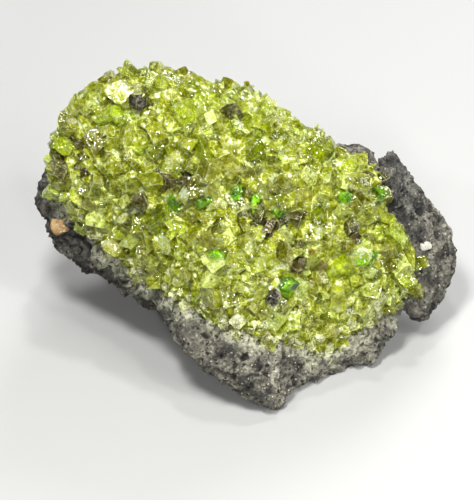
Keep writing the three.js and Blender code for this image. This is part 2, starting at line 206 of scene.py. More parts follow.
def write(items, name, values, kind=np.float32):
    """Stores a number or a row for each of a mesh's items."""
    items.foreach_set(name, np.ascontiguousarray(values, kind).reshape(-1))


def skin(node):
    """The corners of a CAD node, each once, their outward normals, and its triangles as rows of three indices."""
    mesh = node.data
    mesh.calc_loop_triangles()
    corners = read(mesh.vertices, "co")
    keys, index = np.unique(np.round(corners / WELD).astype(np.int64), axis=0, return_inverse=True)
    points = keys * WELD
    triangles = index.reshape(-1)[read(mesh.loop_triangles, "vertices", np.int32)]
    a, b, c = points[triangles].transpose(1, 0, 2)
    facing = np.cross(b - a, c - a)
    normals = np.zeros_like(points)
    for column in triangles.T:
        np.add.at(normals, column, facing)
    return points, normals / np.maximum(np.linalg.norm(normals, axis=1, keepdims=True), 1e-12), triangles


def scattered(node, count, rng):
    """Random points on a CAD node, as likely on every square millimetre of it, and the smooth normal at each."""
    points, normals, triangles = skin(node)
    a, b, c = points[triangles].transpose(1, 0, 2)
    area = np.linalg.norm(np.cross(b - a, c - a), axis=1)
    chosen = triangles[rng.choice(len(triangles), count, p=area / area.sum())]
    shares = rng.dirichlet((1, 1, 1), count)[:, :, None]
    found = (points[chosen] * shares).sum(1)
    facing = (normals[chosen] * shares).sum(1)
    return found, facing / np.linalg.norm(facing, axis=1, keepdims=True)


def apart(points, spacing, rng):
    """Which of the points to keep so that none is nearer to another than the spacing and no gap is left. Each round
    keeps the points that come before all their neighbours in a random order, and takes those neighbours away."""
    near = np.linalg.norm(points[:, None] - points[None], axis=2) < spacing
    order = rng.permutation(len(points))
    waiting = np.ones(len(points), bool)
    kept = np.zeros(len(points), bool)
    while waiting.any():
        rank = np.where(waiting, order, len(points))
        first = waiting & (np.where(near, rank[None], len(points)).min(1) == order)
        kept |= first
        waiting &= ~near[:, first].any(1)
    return kept


def away_from(points, others, distance):
    """Which of the points are further than a distance, or than one distance each, from all the others."""
    return (np.linalg.norm(points[:, None] - others[None], axis=2) > distance).all(1)


def distance_to(points, others, parts=200):
    """How far each point is from the nearest of the others, worked out in parts to save memory."""
    squares = np.empty(len(points))
    for part in np.array_split(np.arange(len(points)), parts):
        squares[part] = ((points[part, None] - others) ** 2).sum(2).min(1)
    return np.sqrt(squares)


def turns(count, rng):
    """Random rotation matrices, from random unit quaternions."""
    quaternions = rng.normal(size=(4, count))
    w, x, y, z = quaternions / np.linalg.norm(quaternions, axis=0)
    rows = [
        [1 - 2 * (y * y + z * z), 2 * (x * y - z * w), 2 * (x * z + y * w)],
        [2 * (x * y + z * w), 1 - 2 * (x * x + z * z), 2 * (y * z - x * w)],
        [2 * (x * z - y * w), 2 * (y * z + x * w), 1 - 2 * (x * x + y * y)],
    ]
    return np.array(rows).transpose(2, 0, 1)


def blocks(count, rng):
    """Corners and faces of many broken blocks, each about one unit in radius.

    A block is a box whose eight corners are cut off. The corner with signs (i, j, k) is replaced by three points, one
    on each of its edges: point m lies a random share of the half edge back along axis m. Every face stays flat.
    """
    signs = np.array(list(np.ndindex(2, 2, 2))) * 2 - 1
    half = rng.uniform(0.5, 0.82, (count, 1, 1, 3))
    back = 1 - rng.uniform(0.12, 0.97, (count, 8, 3, 1)) ** 1.2 * np.eye(3)
    corners = signs[None, :, None, :] * half * back

    def point(i, j, k, m):
        """The number of point m of the corner (i, j, k), where 0 stands for the sign -1."""
        return (i * 4 + j * 2 + k) * 3 + m

    eights, threes = [], []
    for i, j, k in np.ndindex(2, 2, 2):
        row = [point(i, j, k, m) for m in range(3)]
        threes.append(row if (i + j + k) % 2 else row[::-1])
    for axis in range(3):
        across, along = (axis + 1) % 3, (axis + 2) % 3
        for side in (0, 1):
            row = []
            for a, b, edges in ((1, 1, (along, across)), (0, 1, (across, along)), (0, 0, (along, across)),
                                (1, 0, (across, along))):
                at = [0, 0, 0]
                at[axis], at[across], at[along] = side, a, b
                row += [point(*at, m) for m in edges]
            eights.append(row if side else row[::-1])
    return corners.reshape(count, 24, 3), [np.array(eights), np.array(threes)]


def around(sides):
    """The corners of a ring by number, and the one after each."""
    here = np.arange(sides)
    return here, (here + 1) % sides


def fan(first, second, tip):
    """Triangles from each edge of a ring to one tip."""
    return np.column_stack([first, second, np.full(len(first), tip)])


def prisms(count, rng, sides=6):
    """Corners and faces of many stubby prisms, each about one unit in radius.

    The corner at turn t and end s, which is -1 or 1, is at (r cos t, r sin t, s·h + slope · place), so that both ends
    are cut aslant, and a low point off the middle closes each end. The sides stay flat, because their long edges are
    parallel.
    """
    turn = (np.arange(sides) + rng.uniform(-0.3, 0.3, (count, sides))) * 2 * np.pi / sides
    reach = rng.uniform(0.6, 0.9, (count, sides))
    ring = np.stack([reach * np.cos(turn), reach * np.sin(turn)], axis=-1)
    parts = []
    for side in (-1, 1):
        slope = rng.uniform(-0.35, 0.35, (count, 1, 2))
        height = side * rng.uniform(0.4, 0.75, (count, 1)) + (ring * slope).sum(-1)
        tip = rng.uniform(-0.3, 0.3, (count, 1, 2))
        tip_height = side * rng.uniform(0.12, 0.4, (count, 1)) + height.mean(1, keepdims=True)
        parts += [np.dstack([ring, height]), np.dstack([tip, tip_height])]
    here, onward = around(sides)
    above = sides + 1
    walls = np.column_stack([here, onward, above + onward, above + here])
    ends = np.concatenate([fan(onward, here, sides), fan(above + here, above + onward, above + sides)])
    return np.concatenate(parts, axis=1), [walls, ends]


def crowd(name, form, grains, rng):
    """One object of many crystals of a form: each is squashed and sheared along its own axes, turned at random, scaled
    by its radius and moved to its centre. Returns it with its corners, in a row for each crystal."""
    count = len(grains.radii)
    local, face_rows = form(count, rng)
    sheared = np.eye(3) * rng.uniform((0.9, 0.8, 0.65), (1.2, 1.0, 1.0), (count, 3))[:, None]
    sheared = sheared + rng.uniform(-0.3, 0.3, (count, 3, 3)) * (1 - np.eye(3))
    local = local @ sheared * grains.radii[:, None, None]
    corners = np.einsum("nij,nkj->nki", turns(count, rng), local) + grains.centres[:, None]
    each = local.shape[1]
    start = (np.arange(count) * each)[:, None, None]
    rows = [(faces[None] + start).reshape(-1, faces.shape[1]) for faces in face_rows]
    piece = mesh_object(name, corners.reshape(-1, 3), *rows)
    places = np.concatenate([np.tile(RIM_PLACES[part.shape[1]], (len(part), 1)) for part in rows])
    write(piece.data.uv_layers.new(name="rim").data, "uv", places)
    return piece, corners


def mesh_object(name, corners, *face_rows):
    """An object at the origin from an array of corners and arrays of faces with three or four corners each."""
    mesh = bpy.data.meshes.new(name)
    faces = np.concatenate([rows.reshape(-1) for rows in face_rows])
    sizes = np.concatenate([np.full(len(rows), rows.shape[1]) for rows in face_rows])
    mesh.vertices.add(len(corners))
    write(mesh.vertices, "co", corners)
    mesh.loops.add(len(faces))
    write(mesh.loops, "vertex_index", faces, np.int32)
    mesh.polygons.add(len(sizes))
    write(mesh.polygons, "loop_start", np.concatenate([[0], np.cumsum(sizes)[:-1]]), np.int32)
    mesh.update(calc_edges=True)
    mesh.validate()
    mesh.shade_flat()
    made = bpy.data.objects.new(name, mesh)
    bpy.context.scene.collection.objects.link(made)
    return made


def paint(piece, name, colours):
    """Stores one linear colour for each corner of a piece."""
    layer = piece.data.color_attributes.new(name=name, type="FLOAT_COLOR", domain="POINT")
    write(layer.data, "color", np.column_stack([colours, np.ones(len(colours))]))


def weigh(piece, name, values, domain="POINT"):
    """Stores one number for each corner or face of a piece."""
    layer = piece.data.attributes.new(name=name, type="FLOAT", domain=domain)
    write(layer.data, "value", values)


def linear(rgb):
    """A screen colour from 0 to 255 as a linear colour from 0 to 1."""
    share = np.asarray(rgb, float) / 255
    return np.where(share <= 0.04045, share / 12.92, ((share + 0.055) / 1.055) ** 2.4)


def opaque(rgb):
    """A screen colour from 0 to 255 as a linear colour with full alpha."""
    return (*linear(rgb), 1.0)


def lattice(cell, seed):
    """A repeatable number from 0 to 1 for every whole-numbered cell of space: its coordinates and the seed times large
    odd numbers, scrambled by exclusive or."""
    x, y, z = cell.astype(np.int64).T
    scramble = (x * 73856093) ^ (y * 19349663) ^ (z * 83492791) ^ (seed * 2654435761)
    scramble = (scramble ^ (scramble >> 13)) * 1274126177
    return ((scramble ^ (scramble >> 16)) & 0xFFFFFF) / 0xFFFFFF


def swell(points, size, seed):
    """Smooth noise from -1 to 1: lattice values at the corners of cells of the given size, blended with 3t²-2t³. The
    cells are turned, so that their rows don't run along the specimen."""
    scaled = points @ turns(1, np.random.default_rng(seed))[0] / size
    cell = np.floor(scaled)
    share = scaled - cell
    share = share * share * (3 - 2 * share)
    total = np.zeros(len(points))
    for corner in np.ndindex(2, 2, 2):
        weight = np.where(np.array(corner), share, 1 - share).prod(1)
        total += weight * lattice(cell + np.array(corner), seed)
    return 2 * total - 1


def bubbles(points, spacing, radii, share, seed):
    """How deep each point lies in round gas holes, in metres. A cell of space holds a hole with the given chance, its
    centre and radius are lattice values, and the depth is that of the ball's lower half: √(r² - d²)."""
    cell = np.floor(points / spacing)
    deepest = np.zeros(len(points))
    for step in np.ndindex(3, 3, 3):
        beside = cell + np.array(step) - 1
        centre = (beside + np.column_stack([lattice(beside, seed + k) for k in range(3)])) * spacing
        radius = radii[0] + (radii[1] - radii[0]) * lattice(beside, seed + 3) ** 2
        radius = np.where(lattice(beside, seed + 4) < share, radius, 0)
        off = ((points - centre) ** 2).sum(1)
        deepest = np.maximum(deepest, np.sqrt(np.maximum(radius**2 - off, 0)))
    return deepest


def feed(tree, socket, value):
    """Links an output to a socket, or sets the socket to a plain value."""
    if isinstance(value, bpy.types.NodeSocket):
        tree.links.new(value, socket)
    elif value is not None:
        socket.default_value = value


def feed_all(tree, sockets, values):
    """Feeds sockets in a row with a value each."""
    for socket, value in zip(sockets, values):
        feed(tree, socket, value)


def fill(tree, node, **values):
    """Feeds a node's inputs by their names, where an underscore stands for a space. Returns the node."""
    for name, value in values.items():
        feed(tree, node.inputs[name.replace("_", " ")], value)
    return node


def add_node(tree, kind, **settings):
    """Adds a node. Settings that name one of its properties set that, and the others feed its inputs."""
    made = tree.nodes.new(kind)
    own = {name: value for name, value in settings.items() if hasattr(made, name)}
    for name, value in own.items():
        setattr(made, name, value)
    return fill(tree, made, **{name: value for name, value in settings.items() if name not in own})


def maths(tree, operation, *values, kind="ShaderNodeMath"):
    """The output of a Math node, whose inputs are numbers or outputs."""
    made = add_node(tree, kind, operation=operation)
    feed_all(tree, made.inputs, values)
    return made.outputs[0]


def vectors(tree, operation, *values):
    """The output of a Vector Math node."""
    return maths(tree, operation, *values, kind="ShaderNodeVectorMath")


def mixed(tree, share, first, second, blend="MIX"):
    """The output of a colour Mix node."""
    made = add_node(tree, "ShaderNodeMix", data_type="RGBA", blend_type=blend, clamp_result=False)
    feed_all(tree, [made.inputs[index] for index in MIX_INPUTS], (share, first, second))
    return made.outputs[MIX_OUTPUT]


def ramp(tree, value, low, high, to_low=0.0, to_high=1.0):
    """A value that goes from to_low to to_high while the input goes from low to high, with smooth ends."""
    made = add_node(tree, "ShaderNodeMapRange", interpolation_type="SMOOTHSTEP")
    feed_all(tree, made.inputs, (value, low, high, to_low, to_high))
    return made.outputs[0]


def coloured(tree, red, green, blue):
    """The colour with the given red, green and blue."""
    return add_node(tree, "ShaderNodeCombineColor", Red=red, Green=green, Blue=blue).outputs[0]


def channels(tree, colour):
    """The red, green and blue of a colour."""
    return add_node(tree, "ShaderNodeSeparateColor", Color=colour).outputs


def deepened(tree, colour, share, depth):
    """A colour made lighter or darker by a share. Blue goes with the share to the power of the depth, which is more
    than one in glass, because a thicker or darker part of yellow-green glass is also more saturated."""
    shares = coloured(tree, share, share, maths(tree, "POWER", share, depth))
    return mixed(tree, 1.0, colour, shares, "MULTIPLY")


def never_blue(tree, colour):
    """The colour with its blue held well below its green."""
    red, green, blue = channels(tree, colour)
    return coloured(tree, red, green, maths(tree, "MINIMUM", blue, maths(tree, "MULTIPLY", green, 0.68)))


def object_place(tree):
    """Where a shaded point is in the specimen's frame."""
    return tree.nodes.new("ShaderNodeTexCoord").outputs["Object"]


def attribute(tree, name, output="Fac"):
    """A piece's own attribute."""
    return add_node(tree, "ShaderNodeAttribute", attribute_name=name).outputs[output]


def noise(tree, place, size, detail=2.0, roughness=0.5, output="Fac"):
    """Noise whose lumps are about size millimetres apart."""
    return add_node(
        tree, "ShaderNodeTexNoise", Vector=place, Scale=1 / (size * MM), Detail=detail, Roughness=roughness
    ).outputs[output]


def cells(tree, place, size, feature="F1"):
    """Voronoi cells about size millimetres across."""
    return add_node(tree, "ShaderNodeTexVoronoi", feature=feature, Vector=place, Scale=1 / (size * MM))


def group(name, outputs, **inputs):
    """A new shader node group, with the sockets of its input and output nodes. An input whose default is a tuple is a
    colour, and the others are numbers. The outputs are given with their kinds."""
    tree = bpy.data.node_groups.new(name, "ShaderNodeTree")
    for label, default in inputs.items():
        kind = "NodeSocketColor" if isinstance(default, tuple) else "NodeSocketFloat"
        socket = tree.interface.new_socket(name=label.replace("_", " "), in_out="INPUT", socket_type=kind)
        socket.default_value = default
    for label, kind in outputs.items():
        tree.interface.new_socket(name=label, in_out="OUTPUT", socket_type=f"NodeSocket{kind}")
    return tree, tree.nodes.new("NodeGroupInput").outputs, tree.nodes.new("NodeGroupOutput").inputs


def crystal_inside():
    """What is seen in a glassy grain: the tint, deeper and paler in clouds and from one small cell to the next, pale
    cracks, a painted highlight along the edges of faces, and little faces.

    The cracks are the borders of cells of the given size, and the painted edge highlight follows the border of the
    piece's rim map. Each small cell tips the surface its own way by the glitter, so that a grain sparkles in many small
    faces.
    """
    tree, given, out = group(
        "Crystal inside", {"Colour": "Color", "Roughness": "Float", "Normal": "Vector"}, Tint=(0.4, 0.5, 0.1, 1),
        Pale=(0.7, 0.75, 0.4, 1), Depth=4.0, Crack_Size=1.0, Cracks=0.5, Edges=0.5, Glitter=0.2)
    place = object_place(tree)
    cloud = noise(tree, place, 1.8, 4.0, 0.6)
    deep = mixed(tree, 1.0, given["Tint"], given["Tint"], "MULTIPLY")
    body = mixed(tree, ramp(tree, cloud, 0.32, 0.5, 0.7, 0.0), given["Tint"], deep)
    body = mixed(tree, ramp(tree, cloud, 0.52, 0.7, 0.0, 0.6), body, given["Pale"])
    for size, darkest, brightest in ((1.8, 0.72, 1.22), (0.45, 0.75, 1.32)):
        shard = channels(tree, cells(tree, place, size).outputs["Color"])[0]
        body = deepened(tree, body, ramp(tree, shard, 0.0, 1.0, darkest, brightest), given["Depth"])
    border = fill(
        tree, cells(tree, place, 1.0, "DISTANCE_TO_EDGE"), Scale=maths(tree, "DIVIDE", 1 / MM, given["Crack Size"]))
    line = ramp(tree, border.outputs["Distance"], 0.0, 0.045, 1.0, 0.0)
    line = maths(tree, "MULTIPLY", line, maths(tree, "MULTIPLY", given["Cracks"], ramp(tree, cloud, 0.3, 0.6)))
    # Painted highlight: a pale line along each face's border, for light caught on the crystals' edges.
    rim = add_node(tree, "ShaderNodeUVMap", uv_map="rim").outputs["UV"]
    across, along, _ = add_node(tree, "ShaderNodeSeparateXYZ", Vector=rim).outputs
    reach = maths(tree, "MAXIMUM", maths(tree, "ABSOLUTE", across), maths(tree, "ABSOLUTE", along))
    highlight_reach = maths(tree, "ADD", reach, maths(tree, "MULTIPLY", noise(tree, place, 0.7), 0.3))
    edge_highlight = maths(tree, "MULTIPLY", ramp(tree, highlight_reach, 1.04, 1.13), given["Edges"])
    body = mixed(tree, maths(tree, "MAXIMUM", line, edge_highlight), body, given["Pale"])
    feed(tree, out["Colour"], never_blue(tree, body))
    feed(tree, out["Roughness"], ramp(tree, noise(tree, place, 0.9), 0.42, 0.75, 0.03, 0.22))
    normal = tree.nodes.new("ShaderNodeNewGeometry").outputs["Normal"]
    for size, share in ((1.3, 0.6), (0.55, 0.8), (0.22, 0.8)):
        off = vectors(tree, "SUBTRACT", cells(tree, place, size).outputs["Color"], (0.5, 0.5, 0.5))
        tipped = vectors(tree, "SCALE", off, None, None, maths(tree, "MULTIPLY", given["Glitter"], share))
        normal = vectors(tree, "ADD", tipped, normal)
    feed(tree, out["Normal"], vectors(tree, "NORMALIZE", normal))
    return tree


def rock_surface():
    """Fine-grained rock: two colours in clouds, bright mineral specks, pinholes painted near-black as shade, and a
    gritty height.
    """
    tree, given, out = group(
        "Rock surface", {"Colour": "Color", "Roughness": "Float", "Height": "Float"}, Dark=(0.05, 0.05, 0.05, 1),
        Light=(0.2, 0.2, 0.2, 1), Speck=(0.6, 0.6, 0.5, 1), Specks=0.3, Pinholes=0.5)
    place = object_place(tree)
    cloud = noise(tree, place, 4.5, 8.0, 0.72)
    grit = noise(tree, place, 0.8, 4.0, 0.75)
    wobble = noise(tree, place, 0.5, output="Color")
    place = vectors(tree, "MULTIPLY_ADD", wobble, (0.5 * MM,) * 3, place)
    body = mixed(tree, ramp(tree, cloud, 0.36, 0.68), given["Dark"], given["Light"])
    body = mixed(tree, ramp(tree, grit, 0.32, 0.66, 0.85, 0.0), body, given["Dark"])
    hole = cells(tree, place, 0.95)
    wide = maths(tree, "MULTIPLY", maths(tree, "POWER", channels(tree, hole.outputs["Color"])[0], 2.0), 0.42)
    off = maths(tree, "SUBTRACT", hole.outputs["Distance"], maths(tree, "MULTIPLY", wide, given["Pinholes"]))
    pin = ramp(tree, off, -0.05, 0.06, 1.0, 0.0)
    # Painted shade: the pinholes are darkened to near-black, as if shaded inside.
    body = mixed(tree, pin, body, (0.008, 0.008, 0.007, 1))
    dots = cells(tree, place, 0.7)
    shown = ramp(tree, channels(tree, dots.outputs["Color"])[0], 0.7, 0.95)
    dot = maths(tree, "MULTIPLY", ramp(tree, dots.outputs["Distance"], 0.2, 0.42, 1.0, 0.0), shown)
    dot = maths(tree, "MULTIPLY", dot, given["Specks"])
    feed(tree, out["Colour"], mixed(tree, dot, body, given["Speck"]))
    feed(tree, out["Roughness"], maths(tree, "SUBTRACT", 0.92, maths(tree, "MULTIPLY", dot, 0.6)))
    lumps = maths(tree, "ADD", grit, maths(tree, "MULTIPLY", noise(tree, place, 0.3), 0.4))
    feed(tree, out["Height"], maths(tree, "SUBTRACT", lumps, maths(tree, "MULTIPLY", pin, 1.2)))
    return tree


def surface(name):
    """A new material, its nodes and its Principled BSDF."""
    material = bpy.data.materials.new(name)
    material.use_nodes = True
    return material, material.node_tree, material.node_tree.nodes["Principled BSDF"]


def crystal_material(name, inner, finish, pale, tint=None):
    """A glassy crystal. Without a tint of its own it has the piece's tint attribute, which is lighter or darker from
    face to face by the facet attribute."""
    material, tree, shader = surface(name)
    if tint is None:
        face = ramp(tree, attribute(tree, "facet"), 0.0, 1.0, *FACET_SHARES)
        tint = deepened(tree, attribute(tree, "tint", "Color"), face, finish.depth)
    inside = add_node(
        tree, "ShaderNodeGroup", node_tree=inner, Tint=tint, Pale=pale, Depth=finish.depth,
        Crack_Size=finish.crack_size, Cracks=finish.cracks, Edges=finish.edges, Glitter=finish.glitter).outputs
    fill(
        tree, shader, Base_Color=inside["Colour"], Roughness=inside["Roughness"], Normal=inside["Normal"],
        IOR=finish.index, Specular_IOR_Level=finish.specular, Transmission_Weight=finish.transmission)
    return material


def rock_material(name, inner, bump, weathered=False, **values):
    """A matte rock, with a bump in millimetres and the values of the rock surface. When it is weathered, the piece's
    own attributes paint shade into gas holes and hollows, paint it lighter or darker from part to part as light and
    shade, and frost it in patches."""
    material, tree, shader = surface(name)
    rock = add_node(tree, "ShaderNodeGroup", node_tree=inner, **values).outputs
    colour = rock["Colour"]
    if weathered:
        # Painted shade: gas holes and low hollows are darkened towards black.
        inside = ramp(tree, attribute(tree, "hollow_shade"), 0.1, 0.9, 0.0, 0.92)
        colour = mixed(tree, inside, colour, (0.005, 0.005, 0.004, 1))
        # Painted light and shade: lighter at the toe, darker at the left end and on the lobe's near side.
        colour = mixed(tree, 1.0, colour, attribute(tree, "painted_shading", "Color"), "MULTIPLY")
        patchy = ramp(tree, noise(tree, object_place(tree), 1.1, 4.0, 0.7), 0.38, 0.56)
        frosted = maths(tree, "MULTIPLY", attribute(tree, "frost"), patchy)
        colour = mixed(tree, frosted, colour, opaque((174, 174, 148)))
    relief = add_node(tree, "ShaderNodeBump", Distance=bump * MM, Strength=1.0, Height=rock["Height"])
    fill(tree, shader, Base_Color=colour, Roughness=rock["Roughness"], Normal=relief.outputs["Normal"])
    return material


class SpecimenGrains(bpy.types.PropertyGroup):
    """Sizes and colours of the olivine grains."""

    largest: FloatProperty(
        name="Largest Grain", description="Radius of the common large grains", default=2.6 * MM,
        subtype="DISTANCE", unit="LENGTH")
    smallest: FloatProperty(
        name="Smallest Chip", description="Radius of the smallest chips between grains", default=0.3 * MM,
        subtype="DISTANCE", unit="LENGTH")
    tried: IntProperty(name="Places Tried", description="Random places from which grains are chosen", default=5200)
    chips: IntProperty(name="Chips", description="Number of tiny chips on the grains", default=1500)
    crumbs: IntProperty(
        name="Crumbs", description="Number of crushed grains beside the basalt", default=1000)
    seed: IntProperty(name="Seed", description="Changes every random choice of the grains", default=11)
    clear: FloatVectorProperty(
        name="Clear", description="Saturated yellow-green of clear grains", subtype="COLOR", size=3,
        default=tuple(linear((214, 229, 36))))
    pale: FloatVectorProperty(
        name="Pale", description="Straw green of cloudy grains", subtype="COLOR", size=3,
        default=tuple(linear((228, 235, 112))))
    olive: FloatVectorProperty(
        name="Olive", description="Olive of shaded and iron-rich grains", subtype="COLOR", size=3,
        default=tuple(linear((178, 180, 30))))
    emerald: FloatVectorProperty(
        name="Emerald", description="Green of chrome diopside", subtype="COLOR", size=3,
        default=tuple(linear((132, 186, 6))))
    brown: FloatVectorProperty(
        name="Brown", description="Brown of pyroxene", subtype="COLOR", size=3, default=tuple(linear((84, 76, 32))))


class SpecimenBasalt(bpy.types.PropertyGroup):
    """Roughness and colours of the basalt."""

    mesh_size: FloatProperty(
        name="Mesh Size", description="Size of the faces of the rock's surface", default=0.44 * MM,
        subtype="DISTANCE", unit="LENGTH")
    lump: FloatProperty(
        name="Lump Height", description="Height of the coarse lumps of the broken rock", default=0.6 * MM,
        subtype="DISTANCE", unit="LENGTH")
    hole: FloatProperty(
        name="Largest Hole", description="Radius of the largest gas holes in the surface", default=1.0 * MM,
        subtype="DISTANCE", unit="LENGTH")
    seed: IntProperty(name="Seed", description="Changes every lump and hole of the basalt", default=5)
    dark: FloatVectorProperty(
        name="Dark", description="Dark grey of fresh basalt", subtype="COLOR", size=3,
        default=tuple(linear((32, 30, 27))))
    light: FloatVectorProperty(
        name="Light", description="Lighter, dusty grey of basalt", subtype="COLOR", size=3,
        default=tuple(linear((149, 145, 128))))


class SpecimenStage(bpy.types.PropertyGroup):
    """The studio."""

    distance: FloatProperty(
        name="Camera Distance", description="From the camera to the specimen", default=1.5, subtype="DISTANCE",
        unit="LENGTH")
    view_height: FloatProperty(
        name="View Height", description="Height of the picture where the specimen is", default=103.5 * MM,
        subtype="DISTANCE", unit="LENGTH")
    light: FloatProperty(name="Light", description="Strength of all studio lights", default=1.0, min=0)
    floor: FloatVectorProperty(
        name="Floor", description="Colour of the floor", subtype="COLOR", size=3, default=(0.36, 0.36, 0.35))


def nearest_front(points, facing, u, v):
    """The index of the point nearest to [u, v] of the drawing among those that face the viewer."""
    at = drawn(points)
    return np.argmin(np.where(to_viewer(facing) > 0.1, np.hypot(at[:, 0] - u, at[:, 1] - v), np.inf))


def inset_nodes(kind):
    """The CAD nodes of one kind of single crystal, with the centre and the radius of each."""
    names = sorted(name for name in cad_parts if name.startswith(kind))
    boxes = [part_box(name) for name in names]
    centres = np.array([(low + high) / 2 for low, high in boxes])
    radii = np.array([(high - low).length / 2 / math.sqrt(3) for low, high in boxes])
    return names, centres, radii


def fade(values, start, width):
    """From 0 at the start to 1 at a width past it, and level beyond both."""
    return np.clip((values - start) / width, 0, 1)


def on_lobe(u):
    """From 0 on the shell to 1 on the lobe at the right end."""
    return fade(u, 27, 5)


def patch_mask(at, patches):
    """From 0 to 1, how much each place of the drawing lies in any of the round patches."""
    rows = np.array(patches)
    off = np.hypot(at[:, :1] - rows[:, 0], at[:, 1:2] - rows[:, 1]) / rows[:, 2]
    return np.clip(1.6 - off, 0, 1).max(1)


def grain_tints(grains, settings, rng):
    """A linear colour for each grain: a random one of the common tints, more olive or clearer in some parts of the
    nodule than in others, now and then nearly colourless, and brown, amber or silvery in the patches."""
    clear, pale, olive = (np.array(colour) for colour in (settings.clear, settings.pale, settings.olive))
    count = len(grains.radii)
    at = drawn(grains.centres)
    front = to_viewer(grains.ways) > -0.2
    chance = rng.uniform(size=count) + 0.16 * swell(grains.centres, 9 * MM, settings.seed)
    chance += front * (0.3 * patch_mask(at, OLIVE_PATCHES) - 0.4 * patch_mask(at, CLEAR_PATCHES))
    share = np.clip(chance, 0, 1)[:, None]
    tints = np.where(share < 0.6, clear + (pale - clear) * share / 0.6, pale + (olive - pale) * (share - 0.6) / 0.4)
    colourless = (rng.uniform(size=count) < 0.06) & (grains.radii < 1.9 * MM)
    tints = np.where(colourless[:, None], linear((230, 238, 164)), tints)
    tints = tints * rng.uniform(0.8, 1.12, (count, 1)) * rng.uniform(0.95, 1.05, (count, 3))
    tints = tints * (1 - 0.25 * front * patch_mask(at, OLIVE_PATCHES))[:, None]
    for patches, colour, widest in (
        (DARK_PATCHES, linear((104, 96, 34)), 3 * MM),
        (AMBER_PATCHES, linear((178, 140, 30)), 3 * MM),
        (SILVER_PATCHES, linear((236, 236, 212)), 1.4 * MM),
    ):
        hit = front & (grains.radii < widest) & (rng.uniform(size=count) < 0.85 * patch_mask(at, patches))
        tints = np.where(hit[:, None], colour * rng.uniform(0.7, 1.2, (count, 1)), tints)
    return np.clip(tints, 0, 0.95)


def seated(grains, rng):
    """Grains of the same size, one on the outer side of each, out along its own way, which is tipped at random."""
    tipped = grains.ways + rng.normal(size=grains.ways.shape) * 0.5
    tipped = tipped / np.linalg.norm(tipped, axis=1, keepdims=True)
    return grains._replace(ways=tipped).raised(SEAT)


def dress(piece, material, slot, *nodes):
    """Gives a piece its material, hangs it on the root body and hides the CAD nodes that it stands for; the slot is not
    used.
    """
    piece.data.materials.clear()
    piece.data.materials.append(material)
    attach(piece, "root")
    if nodes:
        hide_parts(*nodes)


def add_grains(name, form, grains, tints, material, depth, rng, slot="peridot", nodes=()):
    """Makes one piece of many grains, tinted one by one, with each of their faces a little lighter or darker. The tint
    darkens towards a grain's inner end as painted shade in the gaps between grains, and its blue with the power of the
    depth."""
    piece, corners = crowd(name, form, grains, rng)
    # Painted shade: corners towards a grain's inner end get a darker, more saturated tint, as if shaded between grains.
    outward = ((corners - grains.centres[:, None]) * grains.ways[:, None]).sum(-1) / grains.radii[:, None]
    share = np.clip(0.9 + 0.4 * outward, 0.45, 1.0)[..., None] ** (1, 1, depth)
    paint(piece, "tint", (tints[:, None] * share).reshape(-1, 3))
    weigh(piece, "facet", rng.uniform(size=len(piece.data.polygons)), "FACE")
    dress(piece, material, slot, *nodes)


